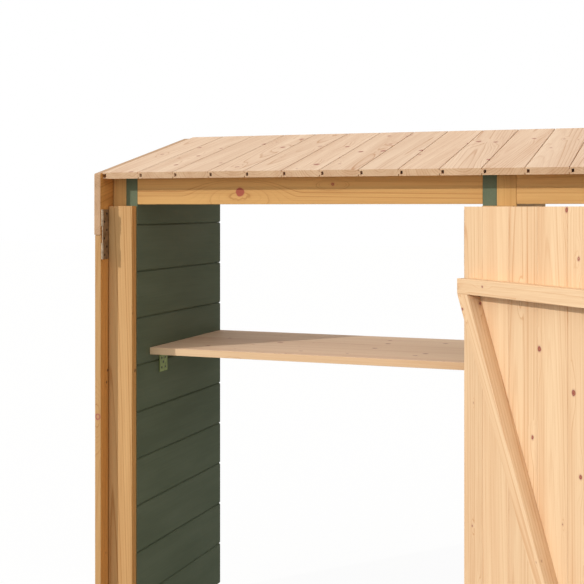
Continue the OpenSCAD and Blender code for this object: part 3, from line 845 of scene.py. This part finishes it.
def screw_head(radius):
    """A low button: rings of points from the seat over the rim and down into the recess."""
    points, faces = [], []
    for ring, (wide, high) in enumerate(HEAD_RINGS):
        for i in range(HEAD_SIDES):
            turn = math.tau * i / HEAD_SIDES
            points.append((radius * wide * math.cos(turn), radius * wide * math.sin(turn),
                           HEAD_HEIGHT * high))
            if ring:
                here, after = ring * HEAD_SIDES + i, ring * HEAD_SIDES + (i + 1) % HEAD_SIDES
                faces.append((here - HEAD_SIDES, after - HEAD_SIDES, after, here))
    faces.append(tuple(reversed(range(HEAD_SIDES))))
    faces.append(tuple(range(len(points) - HEAD_SIDES, len(points))))
    mesh = bpy.data.meshes.new("screw_head")
    mesh.from_pydata(points, [], faces)
    return mesh


print("a head has", len(HEAD_RINGS) * HEAD_SIDES, "points")

# %% [markdown]
# ### A head on each point
# Each point of a list carries the direction that its head faces, so one tree serves hinges on
# upright faces and brackets under the shelf. A small random turn keeps the heads from matching.

# %% The screw tree
screw_tree = bpy.data.node_groups.new("screws_on_points", "GeometryNodeTree")
socket(screw_tree, "Points", "NodeSocketGeometry")
socket(screw_tree, "Head", "NodeSocketObject")
socket(screw_tree, "Turn", "NodeSocketFloat", 0.8)
socket(screw_tree, "Seed", "NodeSocketInt", 3)
socket(screw_tree, "Material", "NodeSocketMaterial")
socket(screw_tree, "Screws", "NodeSocketGeometry", side="OUTPUT")
given = add(screw_tree, "NodeGroupInput")
head = add(screw_tree, "GeometryNodeObjectInfo", {"Object": given.outputs["Head"]})
facing = add(screw_tree, "GeometryNodeInputNamedAttribute", {"Name": "facing"}, data_type="FLOAT_VECTOR")
aimed = add(screw_tree, "FunctionNodeAlignRotationToVector", {"Vector": facing.outputs[0]}, axis="Z")
placed = add(screw_tree, "GeometryNodeInstanceOnPoints", {
    "Points": given.outputs["Points"], "Instance": head.outputs["Geometry"], "Rotation": aimed.outputs[0]})
chance = add(screw_tree, "FunctionNodeRandomValue", {
    "Max": given.outputs["Turn"], "Seed": given.outputs["Seed"]}, data_type="FLOAT")
spin = add(screw_tree, "ShaderNodeCombineXYZ", {"Z": chance.outputs[1]})
turned = add(screw_tree, "GeometryNodeRotateInstances", {
    "Instances": placed.outputs[0], "Rotation": spin.outputs[0]})
realized = add(screw_tree, "GeometryNodeRealizeInstances", {0: turned.outputs[0]})
coated = add(screw_tree, "GeometryNodeSetMaterial", {
    "Geometry": realized.outputs[0], "Material": given.outputs["Material"]})
add(screw_tree, "NodeGroupOutput", {0: coated.outputs[0]})
print("tree", screw_tree.name, len(screw_tree.nodes), "nodes")


def screws(name, places, radius, body, slot):
    """Puts a head on each (point, facing) pair."""
    points = bpy.data.meshes.new("screw_places")
    points.from_pydata([p for p, f in places], [], [])
    ways = points.attributes.new("facing", "FLOAT_VECTOR", "POINT")
    ways.data.foreach_set("vector", [c for p, f in places for c in f])
    head = bpy.data.objects.new("head", screw_head(radius))
    bpy.context.scene.collection.objects.link(head)
    settings = {"Head": head, "Turn": 0.8, "Seed": 3, "Material": blackened}
    mesh = run_tree(points, screw_tree, settings)
    bpy.data.objects.remove(head)
    print(name, len(places), "screws")
    return show(name, mesh, blackened, body, slot)


# %% [markdown]
# ### Where the screws sit
# The holes of a hinge leaf are staggered, so that the screws don't split the wood along one line.
# A bracket has five holes in each arm, and their places are shares of the arm's own size.

# %% Screws in the hinges
HINGE_HEIGHT, LEAF_WIDTH, LEAF_THICKNESS = 126 * MM, 30 * MM, 2 * MM
DOOR_LEAF_WIDTH = 19 * MM
HINGE_SCREWS = 6
HINGE_SCREW_RADIUS = 3 * MM


def staggered(corner, width_way, width, facing):
    """Places up a hinge leaf, by turns near one edge and near the other."""
    places = []
    for i in range(HINGE_SCREWS):
        up = Z * HINGE_HEIGHT * (i + 0.5) / HINGE_SCREWS
        places.append((corner + width_way * width * (0.3, 0.7)[i % 2] + up, facing))
    return places


fixed, moving = [], []
for end in ("top", "bottom"):
    low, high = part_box("side_hinge_" + end)
    leaf_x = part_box("left_side_board")[1].x + LEAF_THICKNESS
    fixed += staggered(Vector((leaf_x, high.y - LEAF_WIDTH, low.z)), Y, LEAF_WIDTH, X)
    low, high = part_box("jamb_hinge_" + end)
    jamb_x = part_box("door_jamb")[0].x
    corner = Vector((jamb_x - LEAF_THICKNESS, high.y - LEAF_WIDTH, low.z))
    fixed += staggered(corner, Y, LEAF_WIDTH, -X)
    low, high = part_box("door_hinge_" + end)
    corner = over_door * (door_start - LEAF_THICKNESS) + into_door * door_face + Z * low.z
    moving += staggered(corner, into_door, DOOR_LEAF_WIDTH, -over_door)
screws("hinge_screws", fixed, HINGE_SCREW_RADIUS, "store", "zinc_steel")
screws("door_hinge_screws", moving, HINGE_SCREW_RADIUS, "door", "zinc_steel")

# %% Screws in the shelf brackets
# holes of one arm, as shares of its width and of its length
BRACKET_HOLES = ((0.28, 0.32), (0.72, 0.32), (0.5, 0.54), (0.28, 0.8), (0.72, 0.8))
BRACKET_WIDTH, BRACKET_ARM, PLATE = 46 * MM, 53 * MM, 2 * MM
BRACKET_SCREW_RADIUS = 3.4 * MM
places = []
for node, way in (("left_brackets", 1), ("right_brackets", -1)):
    low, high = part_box(node)
    wall_x = low.x if way > 0 else high.x
    for y0 in (low.y, high.y - BRACKET_WIDTH):
        for share_wide, share_long in BRACKET_HOLES:
            y = y0 + share_wide * BRACKET_WIDTH
            reach = share_long * BRACKET_ARM
            places.append((Vector((wall_x + way * PLATE, y, high.z - reach)), X * way))
            places.append((Vector((wall_x + way * reach, y, high.z - PLATE)), -Z))
screws("bracket_screws", places, BRACKET_SCREW_RADIUS, "store", "olive_steel")

# %% [markdown]
# ## Studio
# A plain pale floor and a pale surround. One low lamp from the left stands for the sun and draws
# the eaves' shadow on the headers. The surround fills the shade, and shows white to the camera.

# %% Floor, surround and lamp


def background_rays(tree):
    """1 for the rays that should meet a white background: straight, mirrored or through glass."""
    path = add(tree, "ShaderNodeLightPath").outputs
    either = add(tree, "ShaderNodeMath", {
        0: path["Is Camera Ray"], 1: path["Is Glossy Ray"]}, operation="MAXIMUM").outputs[0]
    return add(tree, "ShaderNodeMath", {
        0: either, 1: path["Is Transmission Ray"]}, operation="MAXIMUM").outputs[0]


FLOOR_REACH = 30.0
floor_mesh = bpy.data.meshes.new("floor")
floor_mesh.from_pydata([(FLOOR_REACH * x, FLOOR_REACH * y, 0) for x, y in (
    (-1, -1), (1, -1), (1, 1), (-1, 1))], [], [(0, 1, 2, 3)])
floor = bpy.data.objects.new("floor", floor_mesh)
bpy.context.scene.collection.objects.link(floor)
floor_material, tree = new_material("pale_studio_floor")
rays = background_rays(tree)
# only this matt share catches shadows and throws light back up
matt = add(tree, "ShaderNodeBsdfDiffuse", {"Color": (0.42, 0.41, 0.39, 1)})
white = add(tree, "ShaderNodeEmission", {"Color": (1, 1, 1, 1), "Strength": 1.1})
share = add(tree, "ShaderNodeMath", {0: rays, 1: 0.85}, operation="MULTIPLY").outputs[0]
blend = add(tree, "ShaderNodeMixShader", {0: share, 1: matt.outputs[0], 2: white.outputs[0]})
add(tree, "ShaderNodeOutputMaterial", {"Surface": blend.outputs[0]})
floor_mesh.materials.append(floor_material)

world = bpy.data.worlds.new("surround")
bpy.context.scene.world = world
world.use_nodes = True
world.node_tree.nodes.clear()
brightest = Vector((-0.5, -0.8, 0.35)).normalized()  # the lamp's side of the surround glows most
towards = add(world.node_tree, "ShaderNodeTexCoord").outputs["Generated"]
facing = add(world.node_tree, "ShaderNodeVectorMath", {
    0: towards, 1: brightest}, operation="DOT_PRODUCT")
glow = add(world.node_tree, "ShaderNodeMapRange", {
    0: facing.outputs["Value"], 1: -0.3, 2: 0.9, 3: 0.36, 4: 1.2}, interpolation_type="SMOOTHSTEP")
fill = add(world.node_tree, "ShaderNodeBackground", {
    "Color": (1.0, 1.0, 1.0, 1), "Strength": glow.outputs[0]})
plain = add(world.node_tree, "ShaderNodeBackground", {"Color": (1, 1, 1, 1), "Strength": 1.0})
surround = add(world.node_tree, "ShaderNodeMixShader", {
    0: background_rays(world.node_tree), 1: fill.outputs[0], 2: plain.outputs[0]})
add(world.node_tree, "ShaderNodeOutputWorld", {"Surface": surround.outputs[0]})

lamp_data = bpy.data.lights.new("lamp", "SUN")
lamp_data.energy = 1.93
lamp_data.angle = math.radians(1.2)
lamp_data.color = (1.0, 0.98, 0.95)
lamp = bpy.data.objects.new("lamp", lamp_data)
bpy.context.scene.collection.objects.link(lamp)
shining = Vector((0.84, 1.0, -0.59))  # from the left and the front, rather low
lamp.rotation_euler = shining.to_track_quat("-Z", "Y").to_euler()
bpy.context.scene.view_settings.view_transform = "Standard"
print("lamp", lamp_data.energy, "shining", [round(v, 2) for v in shining])
